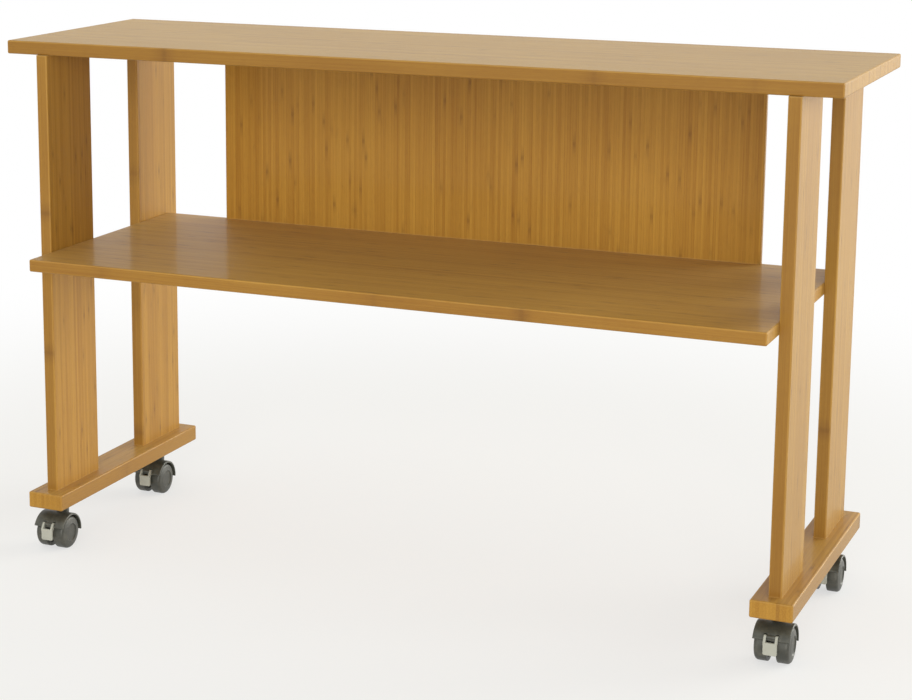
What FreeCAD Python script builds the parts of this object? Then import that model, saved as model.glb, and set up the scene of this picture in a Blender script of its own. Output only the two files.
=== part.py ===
import FreeCAD, Part
import math
import os

# A long, narrow standing-height table on four swivel casters, built from bamboo boards.
# Millimetres. +X runs along the length, +Y to the back, +Z up.
# The origin is on the floor under the middle of the outline.

V = FreeCAD.Vector
X_AXIS = V(1, 0, 0)
Y_AXIS = V(0, 1, 0)
Z_AXIS = V(0, 0, 1)

# ---- driving dimensions: the boards -------------------------------------------------
top_length = 1500.0
top_depth = 450.0
top_thickness = 24.0
top_front_setback = 5.0
top_height = 943.0

end_overhang = 63.0
post_thickness = 22.0
post_width = 150.0
post_gap = 170.0

foot_length = 520.0
foot_width = 71.0
foot_height = 30.0

shelf_depth = 512.0
shelf_thickness = 22.0
shelf_height = 563.0
shelf_front_reach = 75.0

panel_length = 1060.0
panel_thickness = 12.0

edge_round = 3.0

# ---- driving dimensions: the casters ------------------------------------------------
caster_height = 82.0
caster_trail = 20.0
front_caster_inset = 60.0
back_caster_inset = 95.0

wheel_diameter = 60.0
wheel_width = 22.5
wheel_gap = 16.0
wheel_dome = 2.5
wheel_shoulder = 6.0
wheel_inner_round = 1.0
wheel_dish_diameter = 34.0
wheel_dish_depth = 2.0
wheel_well_diameter = 46.0
wheel_well_depth = 9.0
wheel_hub_diameter = 16.0

plate_size = 44.0
plate_thickness = 2.5
plate_corner = 6.0
plate_hole_pitch = 31.0

kingpin_diameter = 9.0
kingpin_rivet_diameter = 7.0
kingpin_rivet_head = 11.0
kingpin_shoulder_diameter = 20.0
kingpin_shoulder = 1.5
kingpin_length = 34.0
kingpin_bevel = 1.0
clip_thickness = 1.2
clip_depth = 0.7
clip_rise = 4.8
clip_split = 2.0

web_width = 14.0
hood_thickness = 3.5
hood_round = 2.0
hood_front_angle = 155.0
hood_back_angle = -5.0
neck_diameter = 23.0
axle_diameter = 6.0
axle_boss_diameter = 18.0
axle_wall = 4.5

lever_width = 23.0
lever_arm = 4.0
lever_arm_width = 7.0
lever_pivot_angle = 146.0
lever_pivot_reach = 6.0
lever_pin_diameter = 3.0
lever_throw = 10.0
pad_height = 21.0
pad_thickness = 4.0
pad_bottom = 22.0
pad_stroke = 4.5
pad_round = 1.2
pad_corner = 3.0

# ---- driving dimensions: joinery ----------------------------------------------------
dowel_diameter = 8.0
dowel_length = 40.0
dowel_in_slab = 14.0
dowel_spacing = 50.0
dowels_per_post = 3
shelf_dowel_in_post = 14.0
panel_dowel_diameter = 6.0
panel_dowel_length = 28.0
panel_dowel_spacing = 240.0
panel_dowels = 5

foot_screw_diameter = 6.0
foot_screw_length = 75.0
foot_screw_head = 11.0
foot_screw_shift = 11.0
foot_screw_spacing = 45.0
plate_screw_diameter = 4.0
plate_screw_length = 18.0
plate_screw_head = 8.0

# ---- fits ---------------------------------------------------------------------------
glue_gap = 0.05
pin_fit = 0.02
running_fit = 0.05
thrust_gap = 0.2
side_gap = 0.5
wheel_clearance = 2.5
notch_clearance = 1.0
lug_clearance = 2.0
hole_end_gap = 1.0

# ---- ways of making -----------------------------------------------------------------
bevel_share = 0.125
cutter_overrun = 1.0
notch_overrun_deg = 5.0
match_tolerance = 0.1

# ---- derived places -----------------------------------------------------------------
frame_depth = 2 * post_width + post_gap
outline_front = frame_depth / 2 + shelf_front_reach
outline_back = foot_length / 2
frame_y = (outline_front - outline_back) / 2

front_face = frame_y - frame_depth / 2
back_face = frame_y + frame_depth / 2
post_inner = top_length / 2 - end_overhang - post_thickness
post_middle = post_inner + post_thickness / 2

top_under = top_height - top_thickness
foot_under = caster_height
foot_top = foot_under + foot_height
foot_front = frame_y - foot_length / 2
foot_back = frame_y + foot_length / 2
shelf_under = shelf_height - shelf_thickness
shelf_front = front_face - shelf_front_reach
shelf_back = shelf_front + shelf_depth
panel_front = shelf_back - panel_thickness

wheel_radius = wheel_diameter / 2
axle_y = -caster_trail
axle_z = wheel_radius
hood_inner = wheel_radius + wheel_clearance
hood_outer = hood_inner + hood_thickness
hood_half = wheel_gap / 2 + wheel_width
web_half = web_width / 2
plate_under = foot_under - plate_thickness
neck_top = plate_under - kingpin_shoulder - thrust_gap
kingpin_bottom = plate_under - kingpin_length
clip_z = kingpin_bottom + clip_rise
pivot_radius = wheel_radius + lever_pivot_reach
pivot_y = axle_y + pivot_radius * math.cos(math.radians(lever_pivot_angle))
pivot_z = axle_z + pivot_radius * math.sin(math.radians(lever_pivot_angle))
pad_back = axle_y - wheel_radius - pad_stroke
pad_front = pad_back - pad_thickness
lever_half = lever_width / 2

sides = {"left": -1, "right": 1}
rows = {"front": foot_front + front_caster_inset, "back": foot_back - back_caster_inset}
post_rows = {"front": front_face + post_width / 2, "back": back_face - post_width / 2}

nodes = {}


# ---- helpers ------------------------------------------------------------------------
def box(low, high):
    """Return a box between two opposite corners."""
    size = [high[i] - low[i] for i in range(3)]
    return Part.makeBox(size[0], size[1], size[2], V(*low))


def rod(diameter, start, direction, length):
    """Return a cylinder that begins at start and runs along direction."""
    return Part.makeCylinder(diameter / 2, length, V(*start), direction)


def board(low, high, butted=None):
    """Return a board with eased edges. Ends that butt along an axis keep square edges."""
    blank = box(low, high)
    eased = blank.Edges
    if butted:
        eased = [edge for edge in eased if edge.tangentAt(0).cross(butted).Length < match_tolerance]
    return blank.makeFillet(edge_round, eased)


def square_to(direction):
    """Return an axis at a right angle to a direction that runs along X or Z."""
    return X_AXIS if abs(direction.z) > abs(direction.x) else Z_AXIS


def turned(profile, origin, axis, across):
    """Revolve (along, radius) points about an axis through origin."""
    points = [V(*origin) + axis * along + across * radius for along, radius in profile]
    wire = Part.makePolygon(points + [points[0]])
    return Part.Face(wire).revolve(V(*origin), axis, 360)


def dowel(diameter, start, direction, length):
    """Return a dowel pin with chamfered ends."""
    radius = diameter / 2
    bevel = diameter * bevel_share
    profile = [(0, 0), (0, radius - bevel), (bevel, radius), (length - bevel, radius)]
    profile += [(length, radius - bevel), (length, 0)]
    return turned(profile, start, direction, square_to(direction))


def wood_screw(diameter, head, start, direction, length):
    """Return a countersunk screw whose flat head starts at start."""
    radius = diameter / 2
    sink = (head - diameter) / 2
    profile = [(0, 0), (0, head / 2), (sink, radius), (length - diameter, radius)]
    profile += [(length, 0)]
    return turned(profile, start, direction, square_to(direction))


def screw_hole(diameter, head, start, direction, length):
    """Return the cutter that leaves a small gap around a countersunk screw."""
    wide = 2 * glue_gap
    return wood_screw(diameter + wide, head + wide, start, direction, length + hole_end_gap)


def dowel_hole(diameter, start, direction, length):
    """Return the cutter for a dowel, longer than the dowel at both ends."""
    begin = V(*start) - direction * hole_end_gap
    return rod(diameter + 2 * glue_gap, begin, direction, length + 2 * hole_end_gap)


def cut_all(shape, cutters):
    """Cut a list of shapes out of one shape."""
    return shape.cut(Part.makeCompound(cutters)) if cutters else shape


def single(shape):
    """Return the only solid of a shape, with its faces merged."""
    clean = shape.removeSplitter()
    if len(clean.Solids) != 1:
        raise ValueError("expected one solid, found %d" % len(clean.Solids))
    return clean.Solids[0]


# ---- joinery places -----------------------------------------------------------------
def top_dowel_starts():
    """Return where the dowels between the posts and the top begin."""
    low = top_under + dowel_in_slab - dowel_length
    return [
        (side * post_middle, middle + (index - (dowels_per_post - 1) / 2) * dowel_spacing, low)
        for side in sides.values()
        for middle in post_rows.values()
        for index in range(dowels_per_post)
    ]


def shelf_dowel_starts():
    """Return (start, direction) of the dowels between the shelf ends and the posts."""
    middle_z = shelf_under + shelf_thickness / 2
    starts = []
    for side in sides.values():
        for middle in post_rows.values():
            edge = middle - post_width / 2
            pitch = (min(edge + post_width, shelf_back) - edge) / dowels_per_post
            for index in range(dowels_per_post):
                y = edge + (index + 0.5) * pitch
                start = (side * (post_inner + shelf_dowel_in_post), y, middle_z)
                starts.append((start, X_AXIS * -side))
    return starts


def panel_dowel_starts():
    """Return where the dowels under and over the back panel begin."""
    y = panel_front + panel_thickness / 2
    first = -panel_dowel_spacing * (panel_dowels - 1) / 2
    half = panel_dowel_length / 2
    return [
        (first + index * panel_dowel_spacing, y, seat - half)
        for index in range(panel_dowels)
        for seat in (shelf_height, top_under)
    ]


def foot_screw_starts():
    """Return where the screws through the feet into the posts begin."""
    starts = []
    for side in sides.values():
        for row, middle in post_rows.items():
            inward = 1 if row == "front" else -1
            for offset in (foot_screw_shift, foot_screw_shift + foot_screw_spacing):
                y = middle + inward * offset
                starts.append((side * post_middle, y, foot_under))
    return starts


def caster_origins():
    """Return each caster's name and the point on the floor below its kingpin."""
    return {
        row + "_" + side: V(sign * post_middle, y, 0)
        for side, sign in sides.items()
        for row, y in rows.items()
    }


def plate_screw_starts():
    """Return where the screws through the caster plates begin."""
    half = plate_hole_pitch / 2
    return [
        (origin.x + dx, origin.y + dy, plate_under)
        for origin in caster_origins().values()
        for dx in (-half, half)
        for dy in (-half, half)
    ]


# ---- boards -------------------------------------------------------------------------
def top_holes():
    return [dowel_hole(dowel_diameter, s, Z_AXIS, dowel_length) for s in top_dowel_starts()]


def shelf_holes():
    return [dowel_hole(dowel_diameter, s, d, dowel_length) for s, d in shelf_dowel_starts()]


def panel_holes():
    starts = panel_dowel_starts()
    return [dowel_hole(panel_dowel_diameter, s, Z_AXIS, panel_dowel_length) for s in starts]


def foot_holes():
    starts = foot_screw_starts()
    size = (foot_screw_diameter, foot_screw_head)
    return [screw_hole(*size, s, Z_AXIS, foot_screw_length) for s in starts]


def plate_holes():
    starts = plate_screw_starts()
    size = (plate_screw_diameter, plate_screw_head)
    return [screw_hole(*size, s, Z_AXIS, plate_screw_length) for s in starts]


def make_top():
    front = front_face + top_front_setback
    low = (-top_length / 2, front, top_under)
    high = (top_length / 2, front + top_depth, top_height)
    return single(cut_all(board(low, high), top_holes() + panel_holes()))


def make_shelf():
    low = (-post_inner, shelf_front, shelf_under)
    high = (post_inner, shelf_back, shelf_height)
    return single(cut_all(board(low, high), shelf_holes() + panel_holes()))


def make_panel():
    low = (-panel_length / 2, panel_front, shelf_height)
    high = (panel_length / 2, shelf_back, top_under)
    return single(cut_all(board(low, high, Z_AXIS), panel_holes()))


def make_post(side, middle):
    inner = side * post_inner
    outer = side * (post_inner + post_thickness)
    low = (min(inner, outer), middle - post_width / 2, foot_top)
    high = (max(inner, outer), middle + post_width / 2, top_under)
    holes = top_holes() + shelf_holes() + foot_holes()
    return single(cut_all(board(low, high, Z_AXIS), holes))


def make_foot(side):
    low = (side * post_middle - foot_width / 2, foot_front, foot_under)
    high = (side * post_middle + foot_width / 2, foot_back, foot_top)
    return single(cut_all(board(low, high), foot_holes() + plate_holes()))


# ---- joinery ------------------------------------------------------------------------
def make_top_dowels():
    return [dowel(dowel_diameter, s, Z_AXIS, dowel_length) for s in top_dowel_starts()]


def make_shelf_dowels():
    return [dowel(dowel_diameter, s, d, dowel_length) for s, d in shelf_dowel_starts()]


def make_panel_dowels():
    starts = panel_dowel_starts()
    return [dowel(panel_dowel_diameter, s, Z_AXIS, panel_dowel_length) for s in starts]


def make_foot_screws():
    size = (foot_screw_diameter, foot_screw_head)
    return [wood_screw(*size, s, Z_AXIS, foot_screw_length) for s in foot_screw_starts()]


def make_plate_screws():
    size = (plate_screw_diameter, plate_screw_head)
    return [wood_screw(*size, s, Z_AXIS, plate_screw_length) for s in plate_screw_starts()]


# ---- caster pieces, with the kingpin's axis on the local Z axis ---------------------
def make_plate():
    half = plate_size / 2
    blank = box((-half, -half, plate_under), (half, half, foot_under))
    upright = [e for e in blank.Edges if e.BoundBox.ZLength > match_tolerance]
    plate = blank.makeFillet(plate_corner, upright)
    sink = (kingpin_rivet_head - kingpin_rivet_diameter) / 2
    rivet = kingpin_rivet_diameter / 2 + pin_fit
    bore = [(-cutter_overrun, 0), (-cutter_overrun, rivet), (plate_thickness - sink, rivet)]
    bore += [(plate_thickness, rivet + sink), (plate_thickness, 0)]
    cutters = [turned(bore, (0, 0, plate_under), Z_AXIS, X_AXIS)]
    pitch = plate_hole_pitch / 2
    for dx in (-pitch, pitch):
        for dy in (-pitch, pitch):
            start = (dx, dy, plate_under)
            size = (plate_screw_diameter, plate_screw_head)
            cutters.append(screw_hole(*size, start, Z_AXIS, plate_screw_length))
    return single(cut_all(plate, cutters))


def make_kingpin():
    stem = kingpin_diameter / 2
    shoulder = kingpin_shoulder_diameter / 2
    rivet = kingpin_rivet_diameter / 2
    sink = (kingpin_rivet_head - kingpin_rivet_diameter) / 2
    groove_low = clip_z - glue_gap
    groove_high = clip_z + clip_thickness + glue_gap
    profile = [(kingpin_bottom, 0), (kingpin_bottom, stem - kingpin_bevel)]
    profile += [(kingpin_bottom + kingpin_bevel, stem)]
    profile += [(groove_low, stem), (groove_low, stem - clip_depth)]
    profile += [(groove_high, stem - clip_depth), (groove_high, stem)]
    profile += [(plate_under - kingpin_shoulder, stem), (plate_under - kingpin_shoulder, shoulder)]
    profile += [(plate_under, shoulder), (plate_under, rivet), (foot_under - sink, rivet)]
    profile += [(foot_under, rivet + sink), (foot_under, 0)]
    return single(turned(profile, (0, 0, 0), Z_AXIS, X_AXIS))


def make_clip():
    inner = kingpin_diameter / 2 - clip_depth + pin_fit
    outer = kingpin_diameter / 2 + clip_depth
    profile = [(0, inner), (0, outer), (clip_thickness, outer), (clip_thickness, inner)]
    ring = turned(profile, (0, 0, clip_z), Z_AXIS, X_AXIS)
    split = box(
        (-clip_split / 2, 0, clip_z - cutter_overrun),
        (clip_split / 2, 2 * outer, clip_z + clip_thickness + cutter_overrun),
    )
    return single(ring.cut(split))


def sector(inner, outer, half, start_deg, end_deg):
    """Return a ring sector about the axle, half wide to each side of the middle."""
    profile = [(-half, inner), (-half, outer), (half, outer), (half, inner)]
    start = math.radians(start_deg)
    across = V(0, math.cos(start), math.sin(start))
    origin = V(0, axle_y, axle_z)
    points = [origin + X_AXIS * along + across * radius for along, radius in profile]
    face = Part.Face(Part.makePolygon(points + [points[0]]))
    return face.revolve(origin, X_AXIS, end_deg - start_deg)


def from_axle(edge):
    """Return how far the nearer end of an edge is from the axle's axis."""
    return min(math.hypot(v.Y - axle_y, v.Z - axle_z) for v in edge.Vertexes)


def make_hood():
    """Return the moulded body: wheel cover, web between the wheels, neck and lever lug."""
    drum = sector(0, hood_outer, hood_half, hood_back_angle, hood_front_angle)
    rim = [e for e in drum.Edges if from_axle(e) > hood_outer - match_tolerance]
    drum = drum.makeFillet(hood_round, rim)
    neck = rod(neck_diameter, (0, 0, axle_z), Z_AXIS, neck_top - axle_z)
    boss = rod(axle_boss_diameter, (-web_half, axle_y, axle_z), X_AXIS, web_width)
    wells = [
        rod(2 * hood_inner, (web_half, axle_y, axle_z), X_AXIS, hood_half),
        rod(2 * hood_inner, (-web_half, axle_y, axle_z), -X_AXIS, hood_half),
    ]
    body = cut_all(drum.fuse(neck), wells).fuse(boss)

    notch_half = lever_half + notch_clearance
    lug_room = lever_arm_width / 2 + lug_clearance
    notch_start = lever_pivot_angle - math.degrees(lug_room / pivot_radius)
    notch_end = hood_front_angle + notch_overrun_deg
    notch = sector(0, 2 * hood_outer, notch_half, notch_start, notch_end)
    spine = box(
        (-web_half, axle_y - 2 * hood_outer, 0),
        (web_half, axle_y, 2 * hood_outer),
    )
    lug = rod(lever_arm_width, (-web_half, pivot_y, pivot_z), X_AXIS, web_width)
    body = body.cut(notch.cut(spine)).fuse(lug)

    socket_bottom = kingpin_bottom - hole_end_gap
    socket = rod(kingpin_diameter + 2 * running_fit, (0, 0, socket_bottom), Z_AXIS, caster_height)
    seat = kingpin_diameter + 2 * (clip_depth + running_fit)
    seat_low = clip_z - thrust_gap
    groove = rod(seat, (0, 0, seat_low), Z_AXIS, clip_thickness + 2 * thrust_gap)
    axle_bore = rod(axle_diameter + 2 * pin_fit, (-hood_half, axle_y, axle_z), X_AXIS, 2 * hood_half)
    pin_bore = rod(
        lever_pin_diameter + 2 * running_fit,
        (-lever_half, pivot_y, pivot_z), X_AXIS, lever_width,
    )
    return single(cut_all(body, [socket, groove, axle_bore, pin_bore]))


def make_axle():
    reach = hood_half - axle_wall
    return dowel(axle_diameter, (-reach, axle_y, axle_z), X_AXIS, 2 * reach)


def rings(shape, radius, along):
    """Return a turned shape's round edges of one radius at one distance from the middle."""
    return [
        e for e in shape.Edges
        if hasattr(e.Curve, "Radius")
        and abs(e.Curve.Radius - radius) < match_tolerance
        and abs(abs(e.Curve.Center.x) - along) < match_tolerance
    ]


def make_wheel(side):
    """Return one wheel: a round shoulder, a domed and dished face and a hollow inner face."""
    inner = wheel_gap / 2
    outer = inner + wheel_width
    radius = wheel_radius
    bore = axle_diameter / 2 + running_fit
    hub = wheel_hub_diameter / 2
    well = wheel_well_diameter / 2
    dish = wheel_dish_diameter / 2
    floor = inner + wheel_well_depth
    blind = outer - axle_wall + hole_end_gap
    profile = [(web_half + side_gap, bore), (web_half + side_gap, hub), (floor, hub)]
    profile += [(floor, well), (inner, well), (inner, radius)]
    profile += [(outer - wheel_dome, radius), (outer, dish)]
    profile += [(outer - wheel_dish_depth, dish - wheel_dish_depth)]
    profile += [(outer - wheel_dish_depth, 0), (blind, 0), (blind, bore)]
    wheel = single(turned(profile, (0, axle_y, axle_z), X_AXIS * side, Z_AXIS))
    wheel = wheel.makeFillet(wheel_shoulder, rings(wheel, radius, outer - wheel_dome))
    return single(wheel.makeFillet(wheel_inner_round, rings(wheel, radius, inner)))


def lever_arm_profile():
    """Return the YZ outline of an arm, from the pivot down to the pad."""
    pad_middle = pad_back - pad_thickness / 2
    top = pad_bottom + pad_height
    run = V(0, pad_middle - pivot_y, top - pivot_z)
    across = X_AXIS.cross(run)
    across.normalize()
    half = lever_arm_width / 2
    return [
        V(0, pivot_y, pivot_z) + across * half,
        V(0, pad_back, top - pad_thickness),
        V(0, pad_front, top - pad_thickness),
        V(0, pad_front, top),
        V(0, pivot_y, pivot_z) - across * half,
    ]


def make_lever():
    """Return the lock lever: a pad before the wheels, hung from two arms."""
    pad = box(
        (-lever_half, pad_front, pad_bottom),
        (lever_half, pad_back, pad_bottom + pad_height),
    )
    corners = [
        e for e in pad.Edges
        if e.BoundBox.YLength > match_tolerance and e.CenterOfMass.z < pad_bottom + match_tolerance
    ]
    pad = pad.makeFillet(pad_corner, corners)
    front = [e for e in pad.Edges if abs(e.CenterOfMass.y - pad_front) < match_tolerance]
    lever = pad.makeFillet(pad_round, front)
    outline = lever_arm_profile()
    wire = Part.makePolygon(outline + [outline[0]])
    for start in (-lever_half, lever_half - lever_arm):
        arm = Part.Face(wire).extrude(X_AXIS * lever_arm)
        arm.translate(X_AXIS * start)
        eye = rod(lever_arm_width, (start, pivot_y, pivot_z), X_AXIS, lever_arm)
        lever = lever.fuse(arm).fuse(eye)
    bore = rod(
        lever_pin_diameter + 2 * pin_fit,
        (-lever_width, pivot_y, pivot_z), X_AXIS, 2 * lever_width,
    )
    return single(lever.cut(bore))


def make_lever_pin():
    return dowel(lever_pin_diameter, (-lever_half, pivot_y, pivot_z), X_AXIS, lever_width)


def make_caster(name, origin):
    pieces = {
        "plate": make_plate(),
        "kingpin": make_kingpin(),
        "kingpin_clip": make_clip(),
        "hood": make_hood(),
        "axle": make_axle(),
        "left_wheel": make_wheel(-1),
        "right_wheel": make_wheel(1),
        "lock_lever": make_lever(),
        "lever_pin": make_lever_pin(),
    }
    for piece, shape in pieces.items():
        shape.translate(origin)
        nodes[name + "_caster_" + piece] = shape


# ---- assembly -----------------------------------------------------------------------
nodes["top_slab"] = make_top()
nodes["shelf"] = make_shelf()
nodes["back_panel"] = make_panel()
for side_name, sign in sides.items():
    nodes[side_name + "_foot"] = make_foot(sign)
    for row_name, row_middle in post_rows.items():
        nodes[row_name + "_" + side_name + "_post"] = make_post(sign, row_middle)
nodes["top_dowels"] = Part.makeCompound(make_top_dowels())
nodes["shelf_dowels"] = Part.makeCompound(make_shelf_dowels())
nodes["panel_dowels"] = Part.makeCompound(make_panel_dowels())
nodes["foot_screws"] = Part.makeCompound(make_foot_screws())
nodes["plate_screws"] = Part.makeCompound(make_plate_screws())
for caster_name, caster_origin in caster_origins().items():
    make_caster(caster_name, caster_origin)

os.makedirs("parts", exist_ok=True)
for node_name, node_shape in nodes.items():
    node_shape.exportStep("parts/%s.step" % node_name)
print(len(nodes), "nodes")
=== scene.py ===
# %% [markdown]
# # A rolling lectern table in bamboo
# The table is a set of flat bamboo boards on four twin-wheel casters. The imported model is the
# fixed frame, so every board and caster part is already in its place. This notebook gives each
# of them its finish, and models the parts whose form comes from a lathe, a mould or a thread.

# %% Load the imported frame
import math

import bmesh
import bpy
from mathutils import Matrix, Vector


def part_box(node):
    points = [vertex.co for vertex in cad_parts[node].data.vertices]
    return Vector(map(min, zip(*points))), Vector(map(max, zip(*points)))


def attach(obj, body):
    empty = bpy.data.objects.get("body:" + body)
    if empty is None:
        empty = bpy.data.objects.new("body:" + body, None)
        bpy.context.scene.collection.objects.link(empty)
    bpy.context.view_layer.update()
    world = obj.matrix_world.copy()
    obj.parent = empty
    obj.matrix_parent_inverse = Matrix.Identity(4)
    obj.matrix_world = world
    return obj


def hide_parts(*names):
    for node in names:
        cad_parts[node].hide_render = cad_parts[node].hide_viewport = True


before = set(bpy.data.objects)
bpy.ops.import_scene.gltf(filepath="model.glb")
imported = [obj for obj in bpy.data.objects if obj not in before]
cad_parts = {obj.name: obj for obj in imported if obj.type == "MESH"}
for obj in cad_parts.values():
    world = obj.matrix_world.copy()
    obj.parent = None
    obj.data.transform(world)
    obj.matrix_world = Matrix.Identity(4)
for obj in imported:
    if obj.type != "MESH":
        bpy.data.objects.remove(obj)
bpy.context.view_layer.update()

# %% [markdown]
# ## The viewer
# Somebody stands a few steps in front of the right end, a little above the top, and looks
# down at the table. A long lens keeps the boards' edges nearly parallel. The lens is shifted
# a little, as a view camera's is, so that the uprights lean in less than a plain tilt makes them.

# %% Camera
viewer_data = bpy.data.cameras.new("viewer")
viewer_data.sensor_width = 36.0
viewer_data.lens = 86.6
viewer_data.shift_x = 0.13
viewer_data.shift_y = -0.12
viewer = bpy.data.objects.new("viewer", viewer_data)
viewer.location = (1.433, -3.531, 1.353)
viewer.rotation_euler = (math.radians(90 - 11.17), 0, math.radians(24.7))
bpy.context.scene.collection.objects.link(viewer)
bpy.context.scene.camera = viewer
bpy.context.scene.view_settings.view_transform = "Standard"
print("the viewer stands", round(viewer.location.length, 2), "metres away")

# %% [markdown]
# ## Small tools for node trees
# A material is a chain of nodes, and most steps are the same three: add a node, set some of
# its sockets, link the rest. These helpers do that in one line each, and give back the
# socket that the next step reads.


# %% Node helpers
def feed(tree, socket, value):
    """Link a socket to another one, or set it to a value."""
    if isinstance(value, bpy.types.NodeSocket):
        tree.links.new(value, socket)
    else:
        socket.default_value = value


def add(tree, kind, inputs=None, **settings):
    """Add a node, set its properties, and feed its input sockets."""
    node = tree.nodes.new(kind)
    for name, value in settings.items():
        setattr(node, name, value)
    for name, value in (inputs or {}).items():
        feed(tree, node.inputs[name], value)
    return node


def calc(tree, operation, *values):
    """Return the result of one Math node."""
    inputs = dict(enumerate(values))
    return add(tree, "ShaderNodeMath", inputs, operation=operation).outputs[0]


def vector_calc(tree, operation, *values):
    """Return the result of one Vector Math node."""
    inputs = dict(enumerate(values))
    return add(tree, "ShaderNodeVectorMath", inputs, operation=operation).outputs[0]


def blend(tree, amount, first, second):
    """Return a mix of two colours. A Mix node has its sockets again for each kind of value,
    under the same names, so those for colours are found by their numbers."""
    inputs = {0: amount, 6: first, 7: second}
    return add(tree, "ShaderNodeMix", inputs, data_type="RGBA").outputs[2]


def ramp(tree, value, low, high, at_low=0.0, at_high=1.0):
    """Return value eased from at_low to at_high between two limits."""
    inputs = {"Value": value, "From Min": low, "From Max": high}
    inputs.update({"To Min": at_low, "To Max": at_high})
    return add(tree, "ShaderNodeMapRange", inputs, interpolation_type="SMOOTHSTEP").outputs[0]


def noise(tree, vector, scale=1.0, detail=2.0, roughness=0.5):
    """Return a soft random value between 0 and 1."""
    inputs = {"Vector": vector, "Scale": scale, "Detail": detail, "Roughness": roughness}
    return add(tree, "ShaderNodeTexNoise", inputs).outputs["Fac"]


def join_axes(tree, x, y, z):
    """Return a vector made of three values."""
    return add(tree, "ShaderNodeCombineXYZ", {"X": x, "Y": y, "Z": z}).outputs[0]


def split_axes(tree, vector):
    """Return the three values of a vector."""
    return add(tree, "ShaderNodeSeparateXYZ", {"Vector": vector}).outputs


def stretch(tree, axes, along_rate, cross_rate):
    """Return a place whose noise changes at one rate along the grain and another across it.
    The rates count changes in a metre."""
    along, across, deep = axes
    return join_axes(
        tree,
        calc(tree, "MULTIPLY", along, along_rate),
        calc(tree, "MULTIPLY", across, cross_rate),
        calc(tree, "MULTIPLY", deep, cross_rate),
    )


print("node helpers are ready")

# %% [markdown]
# A node group is a small machine with named inputs and outputs. It is built once, and each
# material that needs the effect places it with its own values. Groups here only work out
# colours and values: the shader that uses them stays in the material.

# %% Make a group
SOCKETS = {"value": "NodeSocketFloat", "colour": "NodeSocketColor", "vector": "NodeSocketVector"}


def new_group(name, inputs, outputs):
    """Return a group's tree, its input sockets by name, and the node that takes its results."""
    tree = bpy.data.node_groups.new(name, "ShaderNodeTree")
    for label, (kind, start) in inputs.items():
        socket = tree.interface.new_socket(label, in_out="INPUT", socket_type=SOCKETS[kind])
        if start is not None:
            socket.default_value = start
    for label, kind in outputs.items():
        tree.interface.new_socket(label, in_out="OUTPUT", socket_type=SOCKETS[kind])
    given = tree.nodes.new("NodeGroupInput").outputs
    result = tree.nodes.new("NodeGroupOutput")
    return tree, given, result


def use_group(tree, group, **values):
    """Place a group in a tree and return its outputs. Underscores stand for spaces."""
    node = tree.nodes.new("ShaderNodeGroup")
    node.node_tree = group
    for name, value in values.items():
        feed(tree, node.inputs[name.replace("_", " ")], value)
    return node.outputs


def finish_group(tree, result, **values):
    """Send sockets to a group's outputs."""
    for name, value in values.items():
        tree.links.new(value, result.inputs[name])


def new_material(name):
    """Return a material, its tree, its shader and its Object coordinates."""
    material = bpy.data.materials.new(name)
    material.use_nodes = True
    tree = material.node_tree
    shader = tree.nodes["Principled BSDF"]
    place = tree.nodes.new("ShaderNodeTexCoord").outputs["Object"]
    return material, tree, shader, place


def bump(tree, shader, height, depth):
    """Turn a height into the shader's normal. Depth is in metres."""
    normal = add(tree, "ShaderNodeBump", {"Height": height, "Distance": depth}).outputs[0]
    tree.links.new(normal, shader.inputs["Normal"])


def dress(node, material):
    """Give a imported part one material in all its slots."""
    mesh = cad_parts[node].data
    for index in range(len(mesh.materials)):
        mesh.materials[index] = material


print("group helpers are ready")

# %% [markdown]
# ## Pressed bamboo
# A bamboo board is not sawn from a trunk. Culms are split into strips a few millimetres
# thick, the strips are steamed until they turn caramel brown, stood on edge side by side and
# pressed with glue. So the face of a board shows narrow ribbons, each with its own tone,
# fine fibres along it, and now and then a knuckle, where the culm had a joint. The end of a
# board shows the fibres' cut ends as specks.
#
# An image would repeat and would not reach the board's edges and ends in step. A solid
# pattern does: it is worked out in space, from three lengths: along the fibres, across the
# strips, and deep into the board.

# %% Bamboo group: which strip is this?
bamboo, given, result = new_group(
    "pressed bamboo",
    {
        "Vector": ("vector", None),
        "Strip Width": ("value", 0.0055),
        "Strip Depth": ("value", 0.022),
        "Knuckle Spacing": ("value", 0.26),
        "Seed": ("value", 0.0),
        "Pale": ("colour", (0.5, 0.3, 0.1, 1)),
        "Dark": ("colour", (0.3, 0.15, 0.04, 1)),
        "Knuckle": ("colour", (0.15, 0.06, 0.02, 1)),
    },
    {"Color": "colour", "Roughness": "value", "Height": "value"},
)
along, across, deep = split_axes(bamboo, given["Vector"])
columns = calc(bamboo, "DIVIDE", across, given["Strip Width"])
column = calc(bamboo, "FLOOR", columns)
layer = calc(bamboo, "FLOOR", calc(bamboo, "DIVIDE", deep, given["Strip Depth"]))
strip = join_axes(bamboo, column, layer, given["Seed"])
strip_draw = add(bamboo, "ShaderNodeTexWhiteNoise", {"Vector": strip}, noise_dimensions="3D")
offset, spread, strip_tone = split_axes(bamboo, strip_draw.outputs["Color"])
print("a strip draws its own offset, spread and tone")

# %% [markdown]
# Fibres are noise pulled out along the strip: slow changes along it, quick ones across. Each
# strip starts at its own offset, so that no fibre runs on into the next strip.

# %% Bamboo group: fibres, streaks and drift
LONGEST_OFFSET = 30.0
FIBRE_RATES = (9.0, 1300.0)
STREAK_RATES = (3.0, 380.0)
PORE_RATES = (45.0, 2600.0)
DRIFT_RATE, PATCH_RATE = 2.0, 3.5

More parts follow.
